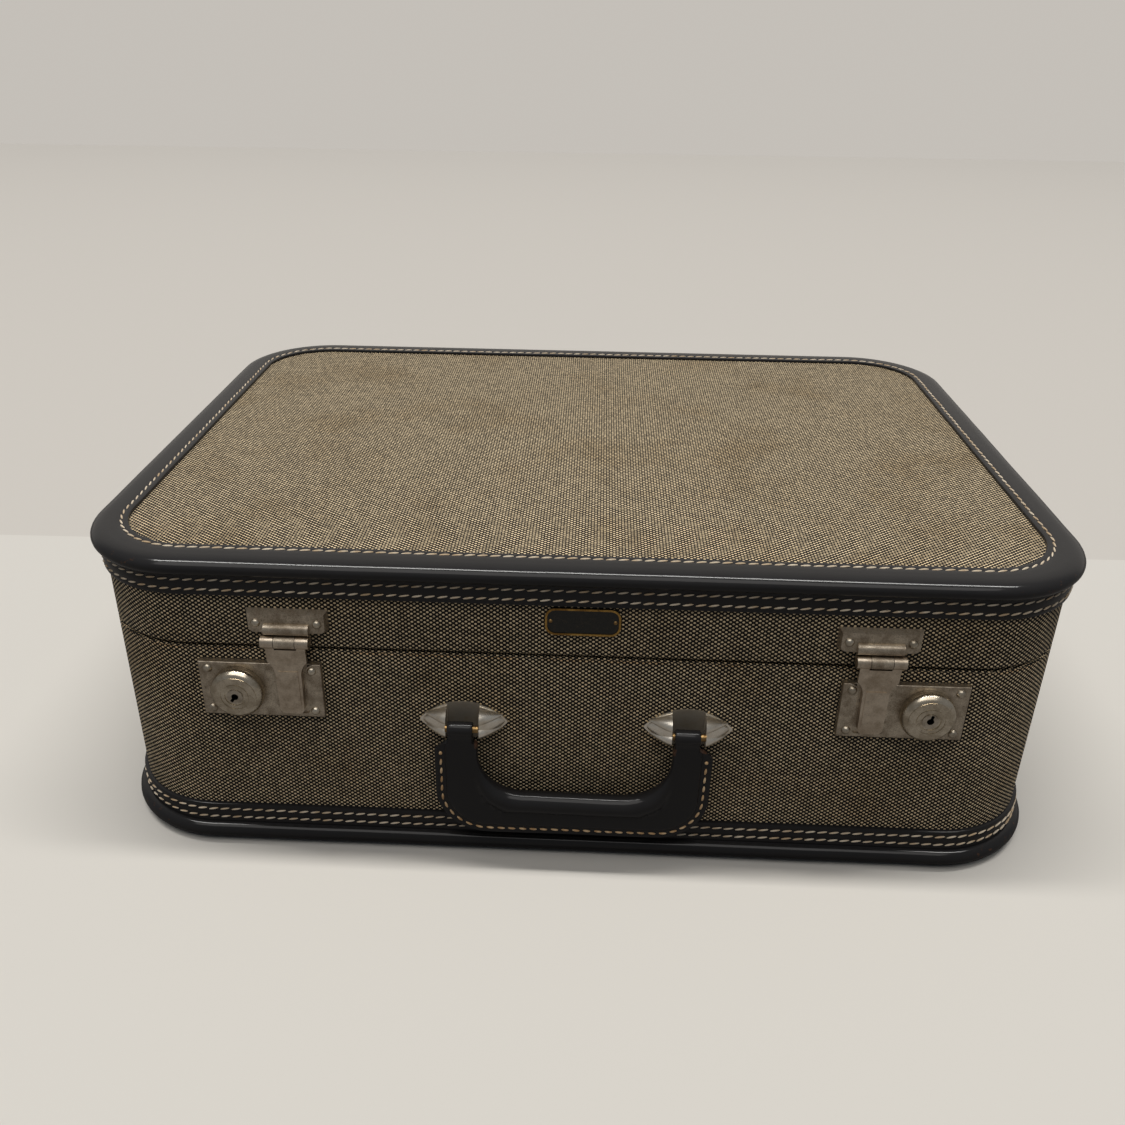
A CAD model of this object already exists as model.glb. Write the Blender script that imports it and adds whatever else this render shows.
import math

import bmesh
import bpy
from mathutils import Matrix, Vector, noise


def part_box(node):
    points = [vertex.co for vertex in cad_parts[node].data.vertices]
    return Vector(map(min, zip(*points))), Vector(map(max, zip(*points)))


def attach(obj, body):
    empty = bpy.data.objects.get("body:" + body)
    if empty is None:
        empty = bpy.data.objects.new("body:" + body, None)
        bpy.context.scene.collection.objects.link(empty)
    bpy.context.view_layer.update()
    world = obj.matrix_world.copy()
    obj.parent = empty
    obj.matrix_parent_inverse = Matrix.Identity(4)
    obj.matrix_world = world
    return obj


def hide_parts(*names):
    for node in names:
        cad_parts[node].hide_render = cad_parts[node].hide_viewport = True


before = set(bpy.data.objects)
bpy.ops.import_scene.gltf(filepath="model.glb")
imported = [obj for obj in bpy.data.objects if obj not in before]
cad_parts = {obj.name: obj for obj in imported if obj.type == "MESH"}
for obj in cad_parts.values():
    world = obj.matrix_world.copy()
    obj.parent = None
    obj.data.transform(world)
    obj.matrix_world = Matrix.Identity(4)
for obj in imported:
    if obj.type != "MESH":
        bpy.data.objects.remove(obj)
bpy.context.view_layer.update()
noise.seed_set(1)


# View, floor and light. The case stands on a plain pale floor, which turns a
# little darker behind it. It is seen from the front and above, under two long
# lamps so high up that its front is lit mostly by what the floor sends back.

view_place = (0.0058, -0.66402, 0.43918)
view_pitch, view_yaw, view_roll = [math.radians(angle) for angle in (27.05, -2.39, -0.65)]

ahead = Vector((math.sin(view_yaw) * math.cos(view_pitch),
                math.cos(view_yaw) * math.cos(view_pitch), -math.sin(view_pitch)))
level_right = Vector((math.cos(view_yaw), -math.sin(view_yaw), 0))
level_down = ahead.cross(level_right)
view_right = math.cos(view_roll) * level_right + math.sin(view_roll) * level_down
view_down = -math.sin(view_roll) * level_right + math.cos(view_roll) * level_down
camera_data = bpy.data.cameras.new("camera")
camera_data.sensor_width = 36
camera_data.lens = 33.917
camera_data.shift_x = 0.01022
camera_data.shift_y = -0.01084
camera = bpy.data.objects.new("camera", camera_data)
turn = Matrix((view_right, -view_down, -ahead)).transposed().to_4x4()
camera.matrix_world = Matrix.Translation(view_place) @ turn
bpy.context.scene.collection.objects.link(camera)
bpy.context.scene.camera = camera
bpy.context.scene.view_settings.view_transform = "Standard"


def paint(red, green, blue):
    """A colour as it looks, 0 to 255, as the shader wants it."""
    shares = [channel / 255 for channel in (red, green, blue)]
    return tuple(s / 12.92 if s <= 0.04045 else ((s + 0.055) / 1.055) ** 2.4 for s in shares) + (1,)


def feed(tree, node, inputs):
    """Gives a node's inputs their values, or links them to other nodes' sockets."""
    for key, value in inputs.items():
        if isinstance(value, bpy.types.NodeSocket):
            tree.links.new(value, node.inputs[key])
        else:
            node.inputs[key].default_value = value


def put(tree, kind, inputs=None, **settings):
    """A node, with its inputs given as values or as other nodes' sockets."""
    made = tree.nodes.new("ShaderNode" + kind)
    for name, value in settings.items():
        setattr(made, name, value)
    feed(tree, made, inputs or {})
    return made


def maths(tree, operation, first, second=0.0):
    return put(tree, "Math", {0: first, 1: second}, operation=operation).outputs[0]


def times(tree, first, second):
    return maths(tree, "MULTIPLY", first, second)


def plus(tree, first, second):
    return maths(tree, "ADD", first, second)


def minus(tree, first, second):
    return maths(tree, "SUBTRACT", first, second)


def parts_of(tree, place):
    """The x, y and z of a place."""
    return put(tree, "SeparateXYZ", {0: place}).outputs


def blend_colours(tree, amount, first, second, way="MIX"):
    return put(tree, "Mix", {0: amount, 6: first, 7: second},
               data_type="RGBA", blend_type=way).outputs[2]


def ease(tree, value, low, high, to_low=0.0, to_high=1.0):
    """The value moved smoothly from one range to another."""
    return put(tree, "MapRange", {0: value, 1: low, 2: high, 3: to_low, 4: to_high},
               interpolation_type="SMOOTHSTEP").outputs[0]


def cloudy(tree, place, scale, detail=2.0, roughness=0.5):
    return put(tree, "TexNoise", {"Vector": place, "Scale": scale, "Detail": detail,
                                  "Roughness": roughness}).outputs[0]


def raise_height(tree, strength, distance, height, under=None):
    """A normal from a height, on top of another normal where one is given."""
    inputs = {"Strength": strength, "Distance": distance, "Height": height}
    if under is not None:
        inputs["Normal"] = under
    return put(tree, "Bump", inputs).outputs[0]


def start_material(name):
    material = bpy.data.materials.new(name)
    material.use_nodes = True
    return material, material.node_tree, material.node_tree.nodes["Principled BSDF"]


floor_front = paint(209, 205, 198)
floor_behind = paint(200, 195, 188)
floor_half_size = 3.2
floor_line = 0.2023
floor_line_slope = 0.0166
floor_line_blur = 0.0006
floor_bounce = paint(118, 115, 112)

floor_material, tree, shader = start_material("pale_floor")
spot = parts_of(tree, put(tree, "TexCoord").outputs["Object"])
behind = minus(tree, spot[1], times(tree, spot[0], floor_line_slope))
behind = ease(tree, behind, floor_line - floor_line_blur, floor_line + floor_line_blur)
seen_floor = blend_colours(tree, behind, floor_front, floor_behind)
ray = put(tree, "LightPath").outputs
feed(tree, shader, {"Base Color": blend_colours(tree, ray["Is Camera Ray"], floor_bounce, seen_floor),
                    "Roughness": 0.75, "Specular IOR Level": 0.2})

bm = bmesh.new()
bmesh.ops.create_grid(bm, x_segments=8, y_segments=8, size=floor_half_size)
bmesh.ops.translate(bm, verts=bm.verts, vec=(0, 0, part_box("base_binding")[0].z))
floor_mesh = bpy.data.meshes.new("floor")
bm.to_mesh(floor_mesh)
bm.free()
floor_mesh.materials.append(floor_material)
floor = bpy.data.objects.new("floor", floor_mesh)
bpy.context.scene.collection.objects.link(floor)

world = bpy.data.worlds.new("room")
bpy.context.scene.world = world
world.use_nodes = True
tree = world.node_tree
ray = put(tree, "LightPath").outputs
towards = parts_of(tree, put(tree, "TexCoord").outputs["Generated"])
front_share = 0.22
pale_side = ease(tree, towards[1], 0.2, 0.6, front_share, 1.0)
shown = maths(tree, "MAXIMUM", ray["Is Camera Ray"], times(tree, ray["Is Glossy Ray"], pale_side))
shown = maths(tree, "MAXIMUM", shown, ray["Is Transmission Ray"])
dim_room = tree.nodes["Background"]
feed(tree, dim_room, {"Color": paint(228, 240, 255), "Strength": 0.12})
pale_room = put(tree, "Background", {"Color": floor_behind, "Strength": 0.96})
both = put(tree, "MixShader", {0: shown, 1: dim_room.outputs[0], 2: pale_room.outputs[0]})
tree.links.new(both.outputs[0], tree.nodes["World Output"].inputs["Surface"])


lamp_height = 12.0
lamp_length = 14.0
overhead_power, overhead_width = 1300, 1.0
before_power, before_width = 560, 7.0


def hang_lamp(name, place, power, colour, width):
    """A long lamp hung across the room and aimed at the case."""
    lamp = bpy.data.lights.new(name, "AREA")
    lamp.shape = "RECTANGLE"
    lamp.size = lamp_length
    lamp.size_y = width
    lamp.energy = power
    lamp.color = colour
    hung = bpy.data.objects.new(name, lamp)
    way = Vector((0, 0, 0)) - Vector(place)
    hung.matrix_world = Matrix.Translation(place) @ way.to_track_quat("-Z", "Y").to_matrix().to_4x4()
    bpy.context.scene.collection.objects.link(hung)


hang_lamp("ceiling_overhead", (0, 0.5, lamp_height), overhead_power, (1.0, 0.985, 0.955), overhead_width)
hang_lamp("ceiling_before", (-1.0, -5.5, lamp_height), before_power, (1.0, 0.97, 0.93), before_width)


# Boards. The box and the lid are bent plywood, out of sight between the cloth
# and the lining, and a thin plated strip is fixed inside the box's rim. It
# stands up past the seam, and the lid closes over it.


def dress(name, material):
    """Gives a solid of the frame its finish."""
    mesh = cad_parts[name].data
    mesh.materials.clear()
    mesh.materials.append(material)


plywood, tree, shader = start_material("plywood")
place = put(tree, "TexCoord").outputs["Object"]
long_grain = put(tree, "Mapping", {"Vector": place, "Scale": (12, 90, 400)}).outputs[0]
figure = cloudy(tree, long_grain, 3.0, 6.0, 0.6)
feed(tree, shader, {"Base Color": blend_colours(tree, figure, paint(150, 116, 76), paint(196, 164, 120)),
                    "Roughness": ease(tree, figure, 0.3, 0.7, 0.55, 0.8),
                    "Normal": raise_height(tree, 0.3, 0.0003, figure)})
for name in ("base_shell", "lid_shell"):
    dress(name, plywood)


def start_group(name, inputs, outputs):
    """A node group with named inputs and outputs, each given as (name, kind, value)."""
    group = bpy.data.node_groups.new(name, "ShaderNodeTree")
    for direction, sockets in (("INPUT", inputs), ("OUTPUT", outputs)):
        for label, kind, *value in sockets:
            made = group.interface.new_socket(name=label, in_out=direction, socket_type="NodeSocket" + kind)
            if value:
                made.default_value = value[0]
    return group, group.nodes.new("NodeGroupInput").outputs, group.nodes.new("NodeGroupOutput").inputs


def give_out(tree, wanted, colour, roughness, height):
    """Sends a surface's colour, roughness and height out of its group."""
    for label, made in (("Colour", colour), ("Roughness", roughness), ("Height", height)):
        tree.links.new(made, wanted[label])


def use_group(tree, group, inputs):
    made = tree.nodes.new("ShaderNodeGroup")
    made.node_tree = group
    feed(tree, made, inputs)
    return made.outputs


# Age on plated metal: cloudy dull patches, fine pits and a few dark spots.
aged_plating, given, wanted = start_group(
    "aged_plating",
    [("Place", "Vector"), ("Bright", "Color", paint(176, 166, 152)), ("Dull", "Color", paint(120, 108, 94)),
     ("Age", "Float", 0.5), ("Pitting", "Float", 0.5), ("Satin", "Float", 0.3)],
    [("Colour", "Color"), ("Roughness", "Float"), ("Height", "Float")])
tree = aged_plating
place, pitting = given["Place"], given["Pitting"]
clouds = cloudy(tree, place, 130.0, 4.0, 0.6)
dull = ease(tree, plus(tree, clouds, times(tree, given["Age"], 0.3)), 0.42, 0.85)
pits = cloudy(tree, place, 1500.0, 3.0, 0.7)
spots = put(tree, "TexVoronoi", {"Vector": place, "Scale": 420.0, "Randomness": 1.0}).outputs[0]
spotted = ease(tree, cloudy(tree, place, 260.0, 1.0), 0.5, 0.62)
spots = times(tree, times(tree, ease(tree, spots, 0.26, 0.12), spotted), pitting)
tone = blend_colours(tree, dull, given["Bright"], given["Dull"])
grime = times(tree, ease(tree, pits, 0.42, 0.66), times(tree, pitting, 0.6))
tone = blend_colours(tree, grime, tone, paint(74, 64, 52))
tone = blend_colours(tree, times(tree, spots, 0.7), tone, paint(40, 34, 28))
rough = plus(tree, given["Satin"], times(tree, dull, 0.14))
rough = plus(tree, rough, times(tree, grime, 0.3))
height = minus(tree, times(tree, pits, 0.5), times(tree, spots, 0.8))
give_out(tree, wanted, tone, rough, height)


def age_metal(tree, place, bright, dull, age, pitting, satin=0.3):
    return use_group(tree, aged_plating, {"Place": place, "Bright": bright, "Dull": dull,
                                          "Age": age, "Pitting": pitting, "Satin": satin})


def plated_metal(name, bright, dull, age, pitting, relief, satin=0.3):
    """A plated metal with its own amount of age."""
    material, tree, shader = start_material(name)
    place = put(tree, "TexCoord").outputs["Object"]
    aged = age_metal(tree, place, bright, dull, age, pitting, satin)
    feed(tree, shader, {"Base Color": aged["Colour"], "Roughness": aged["Roughness"], "Metallic": 1.0,
                        "Normal": raise_height(tree, 1.0, relief, aged["Height"])})
    return material


tongue_metal = plated_metal("tongue_strip", paint(196, 190, 180), paint(150, 142, 130), 0.3, 0.3, 0.00003)
dress("base_tongue", tongue_metal)


# Cloth covering. Box and lid are covered with one woven cloth, cream dots in
# staggered rows on a dark ground, glued to the boards and turned in over the
# edges at the seam. Its pattern runs level round the walls and corners.

cover_low, cover_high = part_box("base_cover")
half_width = (cover_high.x - cover_low.x) / 2
half_depth = (cover_high.y - cover_low.y) / 2
case_middle = Vector(((cover_high.x + cover_low.x) / 2, (cover_high.y + cover_low.y) / 2, 0))
wall_corner = 0.057
run_x = half_width - wall_corner
run_y = half_depth - wall_corner
cloth = 0.0008
fold = 0.0011
seam_room = 0.0005
base_cloth_low, base_cloth_top = cover_low.z, cover_high.z - seam_room
lid_cloth_low, lid_cloth_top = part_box("lid_cover")[0].z + seam_room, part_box("lid_cover")[1].z
seam_height = (base_cloth_top + lid_cloth_low) / 2
rubbed_height = 0.0022
base_turn_in = 0.0058
lid_turn_in = 0.00545

dot_pitch = 0.00336
row_pitch = 0.001235
sharp_angle = math.radians(38)
dot_half_width = 0.00066
dot_half_height = 0.00053


def arc(centre, radii, first, last, steps):
    """Points on part of an ellipse, as (out, up)."""
    angles = [math.radians(first + (last - first) * n / steps) for n in range(steps + 1)]
    return [(centre[0] + radii[0] * math.cos(a), centre[1] + radii[1] * math.sin(a)) for a in angles]


def draw_outline(bm, points, closed=True):
    """An outline in (out, up) where the front wall's left corner ends, as its vertices and edges."""
    corners = [bm.verts.new((-run_x, -half_depth - out, up)) for out, up in points]
    ends = corners[1:] + corners[:1] if closed else corners[1:]
    edges = [bm.edges.new(pair) for pair in zip(corners, ends)]
    return corners + edges


def carry_round(bm, outline, front_steps, side_steps, corner_steps, copies=False):
    """Carries an outline, or copies of a small shape, once round the case."""
    last = outline
    for quarter in range(4):
        along = Matrix.Rotation(math.radians(90 * quarter), 3, "Z") @ Vector((1, 0, 0))
        run, steps = ((run_x, front_steps), (run_y, side_steps))[quarter % 2]
        last = bmesh.ops.spin(bm, geom=last, axis=(0, 0, 1), angle=0, steps=steps,
                              dvec=along * (2 * run / steps), use_duplicate=copies)["geom_last"]
        centre = Matrix.Rotation(math.radians(90 * quarter), 3, "Z") @ Vector((1, -1, 0))
        centre = Vector((math.copysign(run_x, centre.x), math.copysign(run_y, centre.y), 0))
        last = bmesh.ops.spin(bm, geom=last, cent=centre, axis=(0, 0, 1), angle=math.radians(90),
                              steps=corner_steps, use_duplicate=copies)["geom_last"]
    return last


def close_ring(bm):
    bmesh.ops.remove_doubles(bm, verts=bm.verts, dist=1e-6)
    bmesh.ops.recalc_face_normals(bm, faces=bm.faces)


def fill_inwards(bm, rim, height, rings=14):
    """A flat panel from a rim of edges, drawn in ring by ring to the middle."""
    edges = rim
    for ring in range(rings):
        grown = bmesh.ops.extrude_edge_only(bm, edges=edges)["geom"]
        inner = [item for item in grown if isinstance(item, bmesh.types.BMVert)]
        shrink = (rings - ring - 1) / (rings - ring)
        bmesh.ops.scale(bm, vec=(shrink, shrink, 1), verts=inner)
        for corner in inner:
            corner.co.z = height
        edges = [item for item in grown if isinstance(item, bmesh.types.BMEdge)]
        edges = [edge for edge in edges if edge.verts[0] in inner and edge.verts[1] in inner]
    bmesh.ops.remove_doubles(bm, verts=bm.verts, dist=1e-6)


def way_round(x, y):
    """How far along the wall's outline a point is, from the front wall's left corner."""
    quarter_turn = math.pi / 2 * wall_corner
    if abs(x) <= run_x + 1e-7:
        return x + run_x if y < 0 else 3 * run_x + 2 * run_y + 2 * quarter_turn - x
    if abs(y) <= run_y + 1e-7:
        across = 2 * run_x + quarter_turn + run_y + y
        return across if x > 0 else 4 * run_x + 3 * run_y + 3 * quarter_turn - y
    swept = math.atan2(y - math.copysign(run_y, y), x - math.copysign(run_x, x)) + math.pi / 2
    swept %= 2 * math.pi
    passed = (2 * run_x, 2 * run_x + 2 * run_y, 4 * run_x + 2 * run_y, 4 * run_x + 4 * run_y)
    return passed[int(swept // (math.pi / 2)) % 4] + swept * wall_corner


def lay_pattern(bm):
    """Lays the weave in metres: round the walls and up, or across the flat panels."""
    layer = bm.loops.layers.uv.new("cloth")
    for face in bm.faces:
        middle = face.calc_center_median()
        here = way_round(middle.x, middle.y)
        for loop in face.loops:
            spot = loop.vert.co
            if abs(face.normal.z) > 0.7:
                loop[layer].uv = (spot.x, spot.y)
                continue
            there = way_round(spot.x, spot.y)
            if abs(there - here) > 0.5:
                there += 2 * math.pi * wall_corner + 4 * (run_x + run_y) if there < here else 0
            loop[layer].uv = (there, spot.z)


def make_piece(bm, name, material, body, slot, *nodes):
    """The finished mesh as a piece that rides on its body and stands for its nodes."""
    mesh = bpy.data.meshes.new(name)
    bmesh.ops.translate(bm, verts=bm.verts, vec=case_middle)
    bm.to_mesh(mesh)
    bm.free()
    mesh.materials.append(material)
    mesh.shade_smooth()
    mesh.set_sharp_from_angle(angle=sharp_angle)
    piece = bpy.data.objects.new(name, mesh)
    bpy.context.scene.collection.objects.link(piece)
    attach(piece, body)
    if nodes:
        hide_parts(*nodes)


# The weave itself: one oval cream dot to a cell, every second row half a cell along.
dotted_weave, given, wanted = start_group(
    "dotted_weave",
    [("Place", "Vector"), ("Dots", "Color", paint(242, 218, 178)), ("Ground", "Color", paint(18, 15, 11)),
     ("Soil", "Float", 0.5)],
    [("Colour", "Color"), ("Roughness", "Float"), ("Height", "Float")])
tree = dotted_weave
drift = put(tree, "TexNoise", {"Vector": given["Place"], "Scale": 330.0, "Detail": 2.0}).outputs[1]
drift = put(tree, "VectorMath", {0: drift, 1: (0.5, 0.5, 0.5)}, operation="SUBTRACT").outputs[0]
drift = put(tree, "VectorMath", {0: drift, 3: 0.00018}, operation="SCALE").outputs[0]
spot = put(tree, "VectorMath", {0: given["Place"], 1: drift}, operation="ADD").outputs[0]
spot = parts_of(tree, spot)
row = maths(tree, "DIVIDE", spot[1], row_pitch)
row_number = maths(tree, "FLOOR", row)
stagger = times(tree, maths(tree, "FLOORED_MODULO", row_number, 2.0), 0.5)
cell = plus(tree, maths(tree, "DIVIDE", spot[0], dot_pitch), stagger)
cell_name = put(tree, "CombineXYZ", {0: maths(tree, "FLOOR", cell), 1: row_number}).outputs[0]
chance = put(tree, "TexWhiteNoise", {"Vector": cell_name}, noise_dimensions="2D").outputs[0]
aside = times(tree, minus(tree, maths(tree, "FRACT", cell), 0.5), dot_pitch / dot_half_width)
above = times(tree, minus(tree, maths(tree, "FRACT", row), 0.5), row_pitch / dot_half_height)
away = put(tree, "CombineXYZ", {0: aside, 1: above}).outputs[0]
away = put(tree, "VectorMath", {0: away}, operation="LENGTH").outputs[1]
size = ease(tree, chance, 0.0, 1.0, 0.94, 1.06)
dot = ease(tree, maths(tree, "DIVIDE", away, size), 1.12, 0.9)
crown = ease(tree, away, 1.3, 0.0)
blot = cloudy(tree, given["Place"], 14.0, 4.0, 0.6)
thread = put(tree, "Mapping", {"Vector": given["Place"], "Scale": (25, 620, 1)}).outputs[0]
thread = cloudy(tree, thread, 1.0, 3.0, 0.65)
lit = times(tree, ease(tree, chance, 0.0, 1.0, 0.84, 1.1), ease(tree, thread, 0.3, 0.7, 0.88, 1.1))
lit = put(tree, "CombineColor", {0: lit, 1: lit, 2: lit}).outputs[0]
tone = blend_colours(tree, dot, given["Ground"], blend_colours(tree, 1.0, given["Dots"], lit, "MULTIPLY"))
soil = times(tree, ease(tree, blot, 0.45, 0.72), given["Soil"])
tone = blend_colours(tree, soil, tone, blend_colours(tree, 0.75, tone, paint(205, 186, 150), "MULTIPLY"))
rough = ease(tree, dot, 0.0, 1.0, 0.78, 0.6)
fuzz = cloudy(tree, given["Place"], 4200.0, 2.0)
give_out(tree, wanted, tone, rough, plus(tree, crown, times(tree, fuzz, 0.25)))


def woven_cloth(name, edge_low=None):
    """The covering cloth, black in the seam; the box's topmost rows, at the fold, are rubbed paler."""
    material, tree, shader = start_material(name)
    place = put(tree, "UVMap", uv_map="cloth").outputs[0]
    own = put(tree, "TexCoord").outputs
    height = parts_of(tree, own["Object"])[2]
    level = maths(tree, "ABSOLUTE", parts_of(tree, own["Normal"])[2])
    from_seam = maths(tree, "ABSOLUTE", minus(tree, height, seam_height))
    dots = paint(242, 218, 178)
    if edge_low:
        rubbed = times(tree, ease(tree, parts_of(tree, place)[1], edge_low, edge_low + 0.0006),
                       ease(tree, cloudy(tree, place, 40.0, 2.0), 0.35, 0.6))
        dots = blend_colours(tree, rubbed, dots, paint(250, 212, 160))
    woven = use_group(tree, dotted_weave, {"Place": place, "Dots": dots, "Soil": 0.5})
    shaded = times(tree, ease(tree, from_seam, 0.0013, 0.0009), ease(tree, level, 0.9, 0.8))
    feed(tree, shader, {"Base Color": blend_colours(tree, shaded, woven["Colour"], paint(6, 5, 4)),
                        "Roughness": woven["Roughness"], "Specular IOR Level": 0.25,
                        "Normal": raise_height(tree, 0.9, 0.00025, woven["Height"])})
    return material


cloth_steps = (24, 16, 18)
panel_tuck = 0.002


def cover_walls(bm, plain_end, folded_end, turn_in):
    """The cloth on the walls: from one end, under a binding, to the fold at the seam."""
    inward = 1 if folded_end > plain_end else -1
    back = folded_end - inward * cloth
    bend = [(out - fold, folded_end - inward * (fold - up))
            for out, up in arc((0, 0), (fold, fold), 0, 90, 5)]
    outline = [(0, plain_end)] + bend + [(-turn_in, folded_end), (-turn_in, back), (-cloth, back),
                                         (-cloth, plain_end)]
    carry_round(bm, draw_outline(bm, outline), *cloth_steps)
    close_ring(bm)


def cover_panel(bm, height, thickness):
    """The cloth on the flat panel, with its edges out of sight under the binding."""
    start = bm.verts.new((-run_x, -half_depth + panel_tuck, height))
    known = set(bm.edges)
    carry_round(bm, [start], *cloth_steps)
    rim = [edge for edge in bm.edges if edge not in known]
    doubled = list(dict.fromkeys(corner for edge in rim for corner in edge.verts))
    bmesh.ops.remove_doubles(bm, verts=doubled, dist=1e-6)
    rim = [edge for edge in bm.edges if edge not in known]
    before = set(bm.faces)
    fill_inwards(bm, rim, height)
    sheet = [face for face in bm.faces if face not in before]
    bmesh.ops.recalc_face_normals(bm, faces=sheet)
    if sheet and (sum(face.normal.z for face in sheet) > 0) != (thickness > 0):
        bmesh.ops.reverse_faces(bm, faces=sheet)
    bmesh.ops.solidify(bm, geom=sheet, thickness=abs(thickness))


bm = bmesh.new()
cover_walls(bm, base_cloth_low, base_cloth_top, base_turn_in)
cover_panel(bm, base_cloth_low, -cloth)
lay_pattern(bm)
base_woven = woven_cloth("base_cloth", base_cloth_top - rubbed_height)
make_piece(bm, "base_cloth", base_woven, "base", "cloth", "base_cover")

bm = bmesh.new()
cover_walls(bm, lid_cloth_top, lid_cloth_low, lid_turn_in)
cover_panel(bm, lid_cloth_top, cloth)
lay_pattern(bm)
make_piece(bm, "lid_cloth", woven_cloth("lid_cloth"), "lid", "cloth", "lid_cover")


# Linings. Box and lid are lined with a plain fawn rayon, glued round the walls
# and over the floor, with a soft turn where they meet and a rolled upper edge.

lining = 0.0012
lining_turn = 0.007
lining_steps = (20, 14, 12)

lining_cloth, tree, shader = start_material("lining_rayon")
place = put(tree, "TexCoord").outputs["Object"]
twill = {"Vector": place, "Rotation": (0.6, 0.5, 0.78), "Scale": (900, 900, 900)}
twill = put(tree, "Mapping", twill).outputs[0]
twill = put(tree, "TexWave", {"Vector": twill, "Scale": 0.5, "Distortion": 1.5, "Detail": 1.0}).outputs[1]
moire = cloudy(tree, put(tree, "Mapping", {"Vector": place, "Scale": (9, 40, 40)}).outputs[0], 1.0, 4.0, 0.6)
fawn = blend_colours(tree, ease(tree, moire, 0.35, 0.65), paint(150, 124, 90), paint(178, 152, 116))
fawn = blend_colours(tree, times(tree, twill, 0.25), fawn, paint(112, 90, 62))
ribs = raise_height(tree, 0.4, 0.0002, twill)
feed(tree, shader, {"Base Color": fawn, "Roughness": ease(tree, moire, 0.3, 0.7, 0.5, 0.38),
                    "Sheen Weight": 0.25, "Normal": raise_height(tree, 0.5, 0.0008, moire, ribs)})

for body in ("base", "lid"):
    low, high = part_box(body + "_lining")
    inset = half_width - high.x
    rim, floor_height, inward = (high.z, low.z, 1) if body == "base" else (low.z, high.z, -1)
    face_out = -inset - lining
    bm = bmesh.new()
    turned = [(out + face_out - lining_turn, floor_height + inward * (lining + lining_turn + up))
              for out, up in arc((0, 0), (lining_turn, lining_turn), 0, -90, 6)]
    wall = [(face_out, rim)] + [(face_out, floor_height + inward * h) for h in (0.03, 0.02)] + turned
    carry_round(bm, draw_outline(bm, wall, closed=False), *lining_steps)
    close_ring(bm)
    inner = [edge for edge in bm.edges if edge.is_boundary
             and abs(edge.verts[0].co.z - rim) > 0.01]
    fill_inwards(bm, inner, floor_height + inward * lining)
    bmesh.ops.recalc_face_normals(bm, faces=bm.faces)
    sunk = [face for face in bm.faces if abs(face.normal.z) > 0.9]
    if sum(face.normal.z for face in sunk) * inward < 0:
        bmesh.ops.reverse_faces(bm, faces=bm.faces)
    bmesh.ops.solidify(bm, geom=bm.faces[:], thickness=lining * 0.9)
    make_piece(bm, body + "_lining_cloth", lining_cloth, body, "lining_cloth", body + "_lining")


# Leather bindings. Black leather is sewn over the lid's top edge and the box's
# bottom edge: a flange on the flat panel, a padded rim at the corner, and a
# band on the wall. Their edges are rounded and the seams lie in grooves.

flange_reach = 0.0142
flange_row = -0.0105
rim_start = 0.003
leather = 0.002
band_out = 0.0022
binding_steps = (44, 30, 20)
lid_top = lid_cloth_top + leather
lid_band_rows = (0.0125, 0.0183)
base_band_rows = (0.0157, 0.0213)

# The leather's own surface: fine creases, faint clouds of polish, and brown where it is rubbed.
leather_grain, given, wanted = start_group(
    "leather_grain",
    [("Place", "Vector"), ("Colour", "Color", paint(15, 14, 16)), ("Rubbed", "Color", paint(70, 46, 32)),
     ("Wear", "Float", 0.0), ("Polish", "Float", 0.5)],
    [("Colour", "Color"), ("Roughness", "Float"), ("Height", "Float")])
tree = leather_grain
place = given["Place"]
cells = put(tree, "TexVoronoi", {"Vector": place, "Scale": 1250.0, "Randomness": 1.0},
            feature="SMOOTH_F1").outputs[0]
creases = cloudy(tree, place, 420.0, 4.0, 0.62)
clouds = cloudy(tree, place, 38.0, 4.0, 0.6)
scuffs = cloudy(tree, place, 240.0, 4.0, 0.7)
rubbed = ease(tree, plus(tree, scuffs, times(tree, given["Wear"], 0.25)), 0.74, 0.86)
dust = times(tree, ease(tree, cloudy(tree, place, 2300.0, 1.0), 0.7, 0.78), 0.06)
haze = times(tree, ease(tree, clouds, 0.3, 0.75), 0.008)
tone = blend_colours(tree, haze, given["Colour"], paint(180, 170, 160))
tone = blend_colours(tree, rubbed, tone, given["Rubbed"])
tone = blend_colours(tree, dust, tone, paint(120, 108, 92))
rough = minus(tree, ease(tree, clouds, 0.3, 0.7, 0.76, 0.86), times(tree, given["Polish"], 0.1))
rough = plus(tree, rough, times(tree, rubbed, 0.25))
give_out(tree, wanted, tone, rough, plus(tree, times(tree, cells, 0.5), creases))


def black_leather(name, polish, relief):
    """Black leather, rubbed brown where the piece's own marking says so."""
    material, tree, shader = start_material(name)
    place = put(tree, "TexCoord").outputs["Object"]
    wear = put(tree, "Attribute", attribute_name="worn").outputs["Fac"]
    grain = use_group(tree, leather_grain, {"Place": place, "Wear": wear, "Polish": polish})
    feed(tree, shader, {"Base Color": grain["Colour"], "Roughness": grain["Roughness"],
                        "Specular IOR Level": 0.2, "Coat Weight": 0.5, "Coat Roughness": 0.11,
                        "Normal": raise_height(tree, 0.7, relief, grain["Height"])})
    return material


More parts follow.
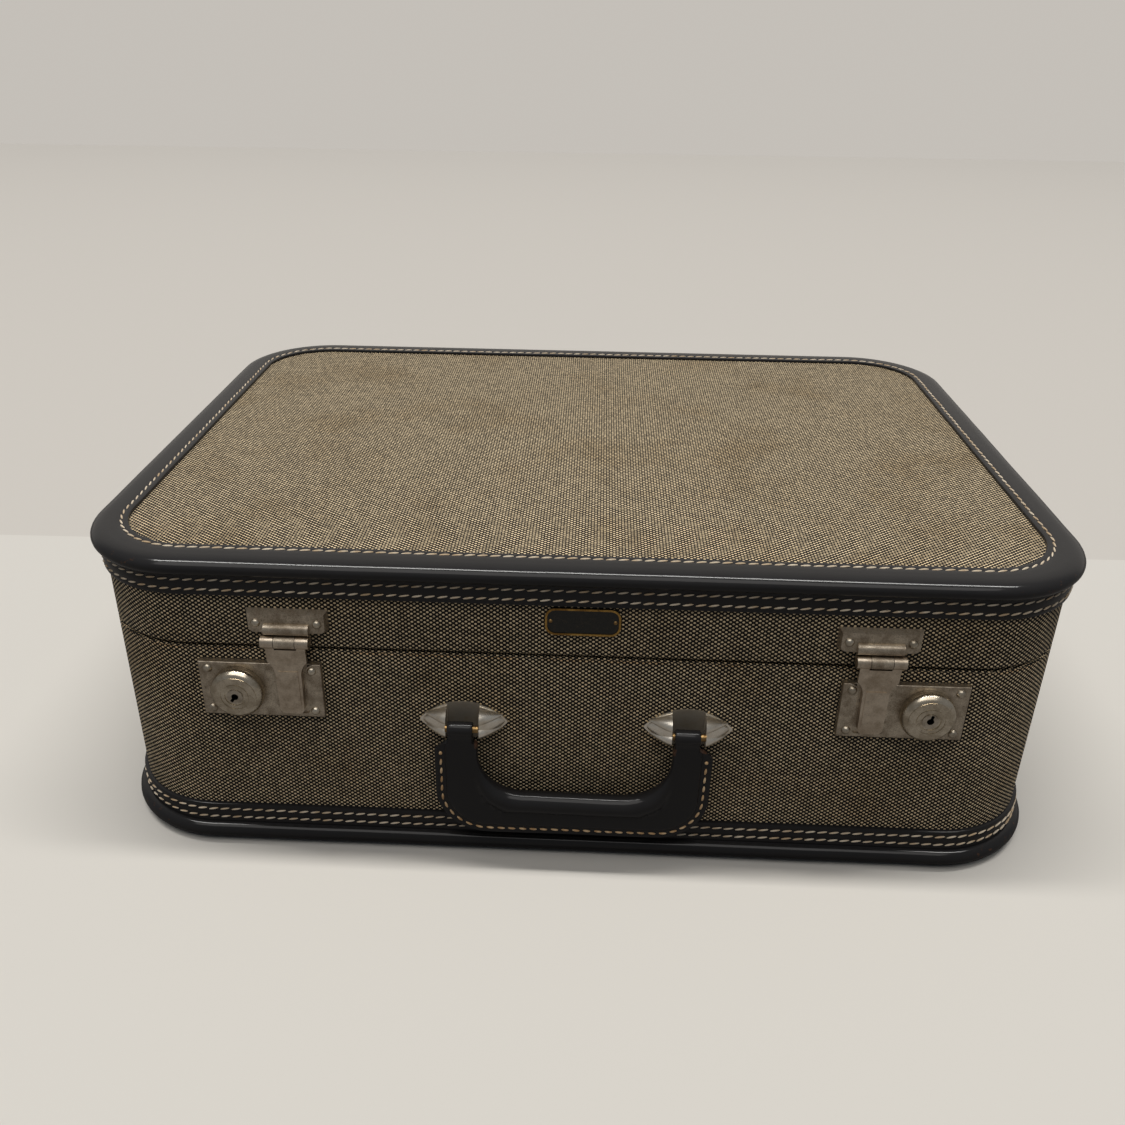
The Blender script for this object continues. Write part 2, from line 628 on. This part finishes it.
def binding_outline(band_height, rim_out, rim_widest, rows):
    """The binding's section as (out, distance from the flat face)."""
    under = rim_out - band_out
    groove = [(-0.0012, 0), (-0.0006, 0.00014), (0, 0.00028), (0.0006, 0.00014), (0.0012, 0)]
    flange = [(-flange_reach, 0.0007), (-flange_reach + 0.0002, 0.0002), (-flange_reach + 0.0008, 0)]
    flange += [(flange_row + along, deep) for along, deep in groove] + [(-0.0062, 0)]
    rim = arc((-rim_start, rim_widest), (rim_start + rim_out, -rim_widest), 90, 0, 9)
    rim += arc((band_out, rim_widest), (under, under), 0, 90, 5)[1:]
    band = [(band_out - deep, row + along) for row in rows for along, deep in groove]
    edge = [(band_out, band_height - 0.0010), (band_out - 0.0003, band_height - 0.0003),
            (band_out - 0.0010, band_height), (0, band_height), (0, leather), (-flange_reach, leather)]
    return flange + rim + band + edge


def share_past(value, start, length):
    """How far a value is past a start, as a share of a length, held between 0 and 1."""
    return max(0.0, min(1.0, (value - start) / length))


def bind_edge(name, outline, flat_face, upwards, material, body):
    """A binding carried round the case, a little uneven, with its rim marked for wear."""
    bm = bmesh.new()
    outline = [(out, flat_face + upwards * away) for out, away in outline]
    carry_round(bm, draw_outline(bm, outline), *binding_steps)
    close_ring(bm)
    worn = bm.verts.layers.float.new("worn")
    for corner in bm.verts:
        spot = corner.co
        away = abs(spot.z - flat_face)
        inside = Vector((max(-run_x, min(run_x, spot.x)), max(-run_y, min(run_y, spot.y)), spot.z))
        outwards = spot - inside
        out = outwards.length - wall_corner
        outwards.normalize()
        padded = share_past(out, -0.001, 0.006) * (1 if away < 0.012 else 0)
        swell = noise.noise(spot * 14) * 0.00035 + noise.noise(spot * 55) * 0.00012
        corner.co += outwards * swell * padded
        if out < -0.0115 and away < 0.0015:
            corner.co += outwards * noise.noise(spot * 30) * 0.0004
        at_corner = share_past(abs(spot.x), run_x, 0.02) * share_past(abs(spot.y), run_y, 0.02)
        corner[worn] = padded * (0.2 + 0.4 * at_corner) + (0.3 if out < -0.0135 else 0)
    make_piece(bm, name, material, body, "binding_leather", body + "_binding")


binding_leather = black_leather("binding_leather", 0.55, 0.00012)
lid_outline = binding_outline(band_height=0.022, rim_out=0.0062, rim_widest=0.0056, rows=lid_band_rows)
bind_edge("lid_binding_leather", lid_outline, lid_top, -1, binding_leather, "lid")
base_outline = binding_outline(band_height=0.0251, rim_out=0.0070, rim_widest=0.0072, rows=base_band_rows)
bind_edge("base_binding_leather", base_outline, base_cloth_low - leather, 1, binding_leather, "base")


# Seams of the bindings. Waxed cream thread goes through band and flange in
# long stitches, each a little slanted and sunk in its groove at both ends. Two
# rows run round each band and one round each flange.

stitch_size = (0.0029, 0.00055, 0.00055)
stitch_slant = math.radians(-11)
front_stitches = 63
side_stitches = 41
band_corner_stitches = 14
flange_corner_stitches = 11
flange_sink = {"lid": 0.0001, "base": 0.0005}

thread, tree, shader = start_material("waxed_thread")
place = put(tree, "TexCoord").outputs["Object"]
twist = {"Vector": place, "Scale": 900.0, "Distortion": 2.0}
twist = put(tree, "TexWave", twist, bands_direction="DIAGONAL").outputs[1]
age = cloudy(tree, place, 90.0, 3.0, 0.6)
cream = blend_colours(tree, ease(tree, age, 0.35, 0.68), paint(240, 224, 200), paint(206, 178, 142))
cream = blend_colours(tree, times(tree, twist, 0.2), cream, paint(120, 98, 66))
feed(tree, shader, {"Base Color": cream, "Roughness": ease(tree, age, 0.3, 0.7, 0.45, 0.65),
                    "Normal": raise_height(tree, 0.5, 0.0001, twist)})


def make_stitch(bm, place, lean, size):
    """One stitch, a small egg of three half sizes, lying along x until it is leaned over."""
    egg = Matrix.Diagonal((*size, 1)) @ Matrix.Rotation(math.radians(90), 4, "Y")
    bmesh.ops.create_uvsphere(bm, u_segments=6, v_segments=5, radius=1,
                              matrix=Matrix.Translation(place) @ lean @ egg)


def sew_row(sewn, out, up, flat, corner_stitches, slant):
    """One row of stitches round the case; flat ones lie on the panel's flange."""
    bm = bmesh.new()
    lean = Matrix.Rotation(slant, 4, "Z" if flat else "Y")
    make_stitch(bm, (-run_x, -half_depth - out, up), lean, stitch_size)
    first = bm.verts[:] + bm.edges[:] + bm.faces[:]
    last = carry_round(bm, first, front_stitches, side_stitches, corner_stitches, copies=True)
    spare = [item for item in last if isinstance(item, bmesh.types.BMVert)]
    bmesh.ops.delete(bm, geom=spare, context="VERTS")
    row = bpy.data.meshes.new("row")
    bm.to_mesh(row)
    bm.free()
    sewn.from_mesh(row)
    bpy.data.meshes.remove(row)


for body, flat_face, upwards, rows in (("lid", lid_top, -1, lid_band_rows),
                                       ("base", base_cloth_low - leather, 1, base_band_rows)):
    bm = bmesh.new()
    for row in rows:
        sew_row(bm, band_out, flat_face + upwards * row, False, band_corner_stitches, stitch_slant)
    flange_level = flat_face + upwards * flange_sink[body]
    sew_row(bm, flange_row, flange_level, True, flange_corner_stitches, -stitch_slant)
    for corner in bm.verts:
        corner.co += noise.noise_vector(corner.co * 60) * 0.00022
    make_piece(bm, body + "_binding_thread", thread, body, "binding_leather")


# Hinges. Two stop hinges of plated steel join box and lid at the back, each
# leaf held by domed rivets through the wall, with a steel pin between them.

hinge_metal = plated_metal("hinge_metal", paint(178, 168, 154), paint(128, 116, 100), 0.6, 0.6, 0.00004)
for name in ("hinge_base_leaf_left", "hinge_base_leaf_right", "hinge_lid_leaf_left", "hinge_lid_leaf_right",
             "hinge_pin_left", "hinge_pin_right", "hinge_base_rivets", "hinge_lid_rivets"):
    dress(name, hinge_metal)


# Emblem plate. A small plate with rounded ends on the lid, held by two brass
# pins: its raised rim is brass, and its sunk field is dark enamel, left bare.

emblem_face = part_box("emblem_plate")[0].y + 0.00028
rim_blur = 0.00008

emblem_enamel, tree, shader = start_material("emblem_enamel")
place = put(tree, "TexCoord").outputs["Object"]
raised = ease(tree, parts_of(tree, place)[1], emblem_face + rim_blur, emblem_face - rim_blur)
aged = age_metal(tree, place, paint(214, 172, 96), paint(150, 112, 58), 0.6, 0.7)
cracks = cloudy(tree, place, 700.0, 4.0, 0.7)
enamel = blend_colours(tree, ease(tree, cracks, 0.5, 0.75), paint(20, 19, 16), paint(48, 40, 28))
glaze = ease(tree, cracks, 0.3, 0.7, 0.22, 0.4)
rough = put(tree, "Mix", {0: raised, 2: glaze, 3: aged["Roughness"]}).outputs[0]
feed(tree, shader, {"Base Color": blend_colours(tree, raised, enamel, aged["Colour"]),
                    "Roughness": rough, "Metallic": raised,
                    "Normal": raise_height(tree, 0.5, 0.00004, cracks)})
dress("emblem_plate", emblem_enamel)

brass = plated_metal("brass", paint(206, 172, 118), paint(136, 106, 66), 0.7, 0.6, 0.00004, 0.24)
dress("emblem_pins", brass)


# Locks. Each lock is a pressed steel pan riveted to the box, with a sliding
# knob, a slide and its spring behind the face, and a channel for the hasp.
# All is nickel plated, by now dull, warm in tone and pitted.

pan_metal = plated_metal("pan_metal", paint(214, 202, 183), paint(162, 148, 130), 0.5, 0.6, 0.00005, 0.36)
hasp_metal = plated_metal("hasp_metal", paint(216, 202, 183), paint(178, 162, 142), 0.35, 0.3, 0.00003, 0.3)
rivet_metal = plated_metal("rivet_metal", paint(222, 212, 194), paint(156, 144, 126), 0.5, 0.5, 0.00003, 0.22)
slide_metal = plated_metal("slide_metal", paint(160, 156, 150), paint(112, 106, 98), 0.5, 0.5, 0.00003)

lock_finishes = {"lock_case": pan_metal, "hasp_plate": pan_metal, "hasp": hasp_metal,
                 "hasp_pin": rivet_metal, "lock_rivets": rivet_metal, "hasp_plate_rivets": rivet_metal,
                 "lock_bolt": slide_metal, "bolt_spring": slide_metal}
for side in ("_left", "_right"):
    for piece, finish in lock_finishes.items():
        dress(piece + side, finish)


# Knobs and key plugs. The knobs are turned, with fine rings from the lathe on
# their flat faces, and the key plugs in them turn on their own.


plug_face_depth = 0.0006
plug_dark_depth = 0.0012


def turned_metal(name, node_name, bright, dull):
    """Plated metal with the fine rings of the lathe about a knob's own middle, dark in a keyhole."""
    low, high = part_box(node_name)
    middle = (low + high) / 2
    material, tree, shader = start_material(name)
    place = put(tree, "TexCoord").outputs["Object"]
    aged = age_metal(tree, place, bright, dull, 0.4, 0.3, 0.19)
    centred = put(tree, "Mapping", {"Vector": place, "Location": (-middle.x, 0, -middle.z)}).outputs[0]
    flat = put(tree, "VectorMath", {0: centred, 1: (1, 0, 1)}, operation="MULTIPLY").outputs[0]
    reach = put(tree, "VectorMath", {0: flat}, operation="LENGTH").outputs[1]
    rings = put(tree, "CombineXYZ", {0: times(tree, reach, 5200.0)}).outputs[0]
    rings = cloudy(tree, rings, 1.0, 2.0)
    tone = aged["Colour"]
    if node_name.startswith("key_plug"):
        sunk = ease(tree, parts_of(tree, place)[1], low.y + plug_face_depth, low.y + plug_dark_depth)
        tone = blend_colours(tree, sunk, tone, paint(14, 12, 10))
    ringed = raise_height(tree, 0.5, 0.00002, rings)
    feed(tree, shader, {"Base Color": tone, "Roughness": aged["Roughness"], "Metallic": 1.0,
                        "Normal": raise_height(tree, 0.6, 0.00003, aged["Height"], ringed)})
    return material


for side in ("_left", "_right"):
    dress("lock_knob" + side, turned_metal("knob_metal" + side, "lock_knob" + side,
                                           paint(222, 211, 192), paint(170, 157, 136)))
    dress("key_plug" + side, turned_metal("plug_metal" + side, "key_plug" + side,
                                          paint(216, 206, 190), paint(152, 140, 124)))


# Handle caps. Each is a pointed plate with two half domes, pressed from one
# sheet and plated, with a duller patch of plate between them, and a short
# brass pin crosses there. Steel strips inside the wall back the caps.

cap_gap = 0.0090
plate_front = cover_low.y - 0.0018
dome_foot = cover_low.y - 0.0022
pin_half_length = 0.0090

for side in ("_left", "_right"):
    low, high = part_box("handle_cap" + side)
    middle = (low + high) / 2
    material, tree, shader = start_material("cap_metal" + side)
    place = put(tree, "TexCoord").outputs["Object"]
    spot = parts_of(tree, place)
    beside = maths(tree, "ABSOLUTE", minus(tree, spot[0], middle.x))
    between = times(tree, ease(tree, beside, cap_gap, cap_gap - 0.0003),
                    ease(tree, spot[1], dome_foot, plate_front))
    aged = age_metal(tree, place, paint(250, 243, 230), paint(222, 210, 190), 0.2, 0.15, 0.27)
    tone = blend_colours(tree, times(tree, between, 0.8), aged["Colour"], paint(112, 100, 82))
    feed(tree, shader, {"Base Color": tone, "Metallic": minus(tree, 1.0, times(tree, between, 0.5)),
                        "Roughness": plus(tree, aged["Roughness"], times(tree, between, 0.25)),
                        "Normal": raise_height(tree, 0.8, 0.00004, aged["Height"])})
    dress("handle_cap" + side, material)
    low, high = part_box("handle_pin" + side)
    middle = (low + high) / 2
    pin_radius = (high.z - low.z) / 2
    across = Matrix.Translation(middle - case_middle) @ Matrix.Rotation(math.radians(90), 4, "Y")
    bm = bmesh.new()
    bmesh.ops.create_cone(bm, cap_ends=True, segments=32, radius1=pin_radius, radius2=pin_radius,
                          depth=2 * pin_half_length, matrix=across)
    make_piece(bm, "handle_pin_brass" + side, brass, "base", "brass", "handle_pin" + side)

backing_steel = plated_metal("backing_steel", paint(150, 148, 144), paint(104, 98, 90), 0.5, 0.6, 0.00004)
dress("handle_backing", backing_steel)
dress("handle_core", backing_steel)


# Handle. Two layers of black leather are sewn along the outer edge into a flat
# flange; the grip's inner edge is stuffed into a thick roll, and each end is a
# strap folded round its pin.

handle_low, handle_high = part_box("handle")
handle_x = (handle_low.x + handle_high.x) / 2
pin_low, pin_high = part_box("handle_pin_left")
handle_y, pin_z = (pin_low.y + pin_high.y) / 2, (pin_low.z + pin_high.z) / 2
outer_edge, inner_edge = 0.0759, 0.0532
outer_foot, inner_foot = -0.0702, -0.0422
outer_corner, inner_corner = 0.028, 0.0255
gap_shift = 0.0009
loop_x = 0.0615
loop_half = 0.00685
loop_radius = 0.00405
grip_roll = 0.0064
flange_width = 0.0059
flange_under = 0.0022
seam_inset = 0.0035
shoulder = -0.0082
body_top = -0.0096
flange_top = -0.0074
flange_slope = 0.0056
leg_share, corner_share = 0.22, 0.38
strap_share = 0.11
body_half, strap_extra = 0.0026, 0.0010
roll_from, roll_full = 0.13, 0.25
flange_half = 0.0015
groove_depth, groove_half = 0.0003, 0.0009
pin_hole = 0.00212


def outer_line(inset):
    """The handle's outer edge, or a line drawn in from it: half width, foot and corner."""
    return outer_edge - inset, outer_foot + inset, outer_corner - inset


inner_line = (inner_edge, inner_foot, inner_corner)


def station(share, line, top):
    """A point of a U-shaped line, from its left end (0) round to its right end (1)."""
    edge, foot, corner = line
    side = min(share, 1 - share) * 2
    if side < leg_share:
        x, z = -edge, top + (foot + corner - top) * side / leg_share
    elif side < leg_share + corner_share:
        swept = math.radians(90) * (side - leg_share) / corner_share
        x, z = -edge + corner * (1 - math.cos(swept)), foot + corner * (1 - math.sin(swept))
    else:
        x, z = (-edge + corner) * (1 - side) / (1 - leg_share - corner_share), foot
    return Vector((-x if share > 0.5 else x, 0, z))


def bend_grid(bm, stations, around, place):
    """A grid of faces, bent by place(share along, share around) and closed where it meets itself."""
    bmesh.ops.create_grid(bm, x_segments=stations, y_segments=around, size=0.5)
    for corner in bm.verts:
        corner.co = place(min(1.0, max(0.0, corner.co.x + 0.5)), min(1.0, max(0.0, corner.co.y + 0.5)))
    bmesh.ops.remove_doubles(bm, verts=bm.verts, dist=2e-6)
    bmesh.ops.dissolve_degenerate(bm, dist=1e-7, edges=bm.edges)
    bmesh.ops.recalc_face_normals(bm, faces=bm.faces)


def smooth_step(value, low, high):
    share = share_past(value, low, high - low)
    return share * share * (3 - 2 * share)


def body_place(share, around):
    """The handle's padded body: strap ends, flat legs, and the roll along the grip's inner edge."""
    side = min(share, 1 - share)
    if side < strap_share:
        up = (strap_share - side) / strap_share
        way = -1 if share < 0.5 else 1
        z = body_top - up * (body_top + 0.0006)
        drawn = smooth_step(z, body_top, shoulder)
        legs = (way * (outer_edge - flange_width), way * inner_edge + gap_shift)
        straps = (way * (loop_x + loop_half), way * (loop_x - loop_half))
        outer, inner = [Vector((leg + (edge - leg) * drawn, 0, z)) for leg, edge in zip(legs, straps)]
        roll, thick, lean = 0.0, body_half + strap_extra * smooth_step(up, 0.3, 1.0), 1.0
        if up >= 0.999:
            thick = 0.0001
    else:
        gone = (share - strap_share) / (1 - 2 * strap_share)
        outer = station(gone, outer_line(flange_width), body_top)
        inner = station(gone, inner_line, body_top) + Vector((gap_shift, 0, 0))
        roll, thick = smooth_step(min(gone, 1 - gone), roll_from, roll_full), body_half
        onward = (station(min(1, gone + 0.002), inner_line, body_top)
                  - station(max(0, gone - 0.002), inner_line, body_top)).normalized()
        lean = abs((inner - outer).normalized().dot(Vector((-onward.z, 0, onward.x))))
    width = (inner - outer).length
    inwards = (inner - outer).normalized()
    radius = thick + (grip_roll - thick) * roll
    turn = around * 2 * math.pi
    lift = math.sin(turn)
    along = (1 - math.cos(turn)) / 2
    reach = along * width
    flat = thick * min(1.0, abs(lift) * 2.6) ** 0.5
    from_middle = radius - (width - reach) * lean
    bulge = math.sqrt(max(0.0, radius * radius - from_middle * from_middle))
    half = max(flat * (1 - roll * smooth_step(from_middle, -0.9 * radius, -0.3 * radius)), bulge)
    if along > 0.999 or along < 0.001:
        half = 0.0
    return outer + inwards * reach + Vector((0, -math.copysign(half, lift) if half else 0, 0))


def flange_place(share, around):
    """The thin sewn flange outside the body, cut off at a slant at its two ends."""
    outer = station(share, outer_line(0), flange_top)
    inner = station(share, outer_line(flange_width + flange_under), flange_top)
    cut = max(0.0, 1 - (flange_top - outer.z) / flange_slope)
    outer = outer + (inner - outer) * cut * 0.86
    width = (inner - outer).length
    turn = around * 2 * math.pi
    along = (1 - math.cos(turn)) / 2
    half = flange_half * min(1.0, abs(math.sin(turn)) * 1.8) ** 0.6
    groove = groove_depth * max(0.0, 1 - abs(along * width - seam_inset) / groove_half)
    half = max(0.0, half - groove)
    if along > 0.999 or along < 0.001 or share in (0.0, 1.0):
        half = 0.0
    return outer + (inner - outer) * along + Vector((0, -math.copysign(half, math.sin(turn)), 0))


def limp(spot):
    """Leather this old is a little out of true."""
    return noise.noise_vector(spot * 22) * 0.0004 + noise.noise_vector(spot * 60) * 0.0001


handle_leather = black_leather("handle_leather", 0.75, 0.00008)
handle_centre = Vector((handle_x, handle_y, pin_z)) - case_middle
for name, place in (("handle_body", body_place), ("handle_flange", flange_place)):
    bm = bmesh.new()
    bend_grid(bm, 190, 44, place)
    if name == "handle_body":
        for side in (-1, 1):
            middle = Vector((side * loop_x, 0, 0))
            ring = [(-loop_half, pin_hole), (-loop_half, 0.0034), (-loop_half + 0.0002, 0.0038),
                    (-loop_half + 0.0006, loop_radius), (loop_half - 0.0006, loop_radius),
                    (loop_half - 0.0002, 0.0038), (loop_half, 0.0034), (loop_half, pin_hole)]
            corners = [bm.verts.new(middle + Vector((across, 0, reach))) for across, reach in ring]
            edges = [bm.edges.new(pair) for pair in zip(corners, corners[1:] + corners[:1])]
            bmesh.ops.spin(bm, geom=corners + edges, cent=middle, axis=(1, 0, 0),
                           angle=2 * math.pi, steps=36, use_merge=True)
        bmesh.ops.remove_doubles(bm, verts=bm.verts, dist=1e-6)
        bmesh.ops.recalc_face_normals(bm, faces=bm.faces)
    worn = bm.verts.layers.float.new("worn")
    for corner in bm.verts:
        spot = corner.co
        inwards = loop_x - abs(spot.x - gap_shift)
        raw_edge = inwards > 0.0064 and shoulder - 0.003 < spot.z < shoulder + 0.002
        if name == "handle_flange":
            corner[worn] = 1.6 if spot.x > 0 and spot.z > flange_top - 0.003 else 0.3
        else:
            corner[worn] = 1.6 if raw_edge else 0.05
        corner.co += limp(spot)
    bmesh.ops.translate(bm, verts=bm.verts, vec=handle_centre)
    nodes = ("handle",) if name == "handle_body" else ()
    make_piece(bm, name, handle_leather, "handle", "handle_leather", *nodes)


# Seam of the handle. A single row of tan thread follows the flange on both
# faces, from a knot at the left leg's shoulder round to the right.

handle_stitch_pitch = 0.0060
handle_stitch_size = (0.00215, 0.00074, 0.00074)
handle_stitch_slant = math.radians(6)
knot_size = (0.0011, 0.0009, 0.0011)
stitch_level = 0.0014
seam_top = -0.0155
seam_points = 800

tan_thread, tree, shader = start_material("tan_thread")
place = put(tree, "TexCoord").outputs["Object"]
age = cloudy(tree, place, 160.0, 3.0, 0.6)
tan = blend_colours(tree, ease(tree, age, 0.35, 0.65), paint(236, 204, 160), paint(190, 148, 100))
feed(tree, shader, {"Base Color": tan, "Roughness": ease(tree, age, 0.3, 0.7, 0.5, 0.7),
                    "Normal": raise_height(tree, 0.5, 0.0001, cloudy(tree, place, 3000.0))})

seam_line = [station(n / seam_points, outer_line(seam_inset), seam_top) for n in range(seam_points + 1)]
lengths = [0.0]
for first, second in zip(seam_line, seam_line[1:]):
    lengths.append(lengths[-1] + (second - first).length)
count = int(lengths[-1] / handle_stitch_pitch)
bm = bmesh.new()
at = 0
for number in range(count + 1):
    target = lengths[-1] * number / count
    while at < seam_points - 1 and lengths[at + 1] < target:
        at += 1
    spot = seam_line[at]
    forward = (seam_line[at + 1] - seam_line[at]).normalized()
    lean = Matrix.Rotation(math.atan2(-forward.z, forward.x) + handle_stitch_slant, 4, "Y")
    size = knot_size if number in (0, count) else handle_stitch_size
    for face in (-1, 1):
        make_stitch(bm, spot + limp(spot) + Vector((0, face * stitch_level, 0)), lean, size)
bmesh.ops.translate(bm, verts=bm.verts, vec=handle_centre)
make_piece(bm, "handle_thread", tan_thread, "handle", "handle_leather")
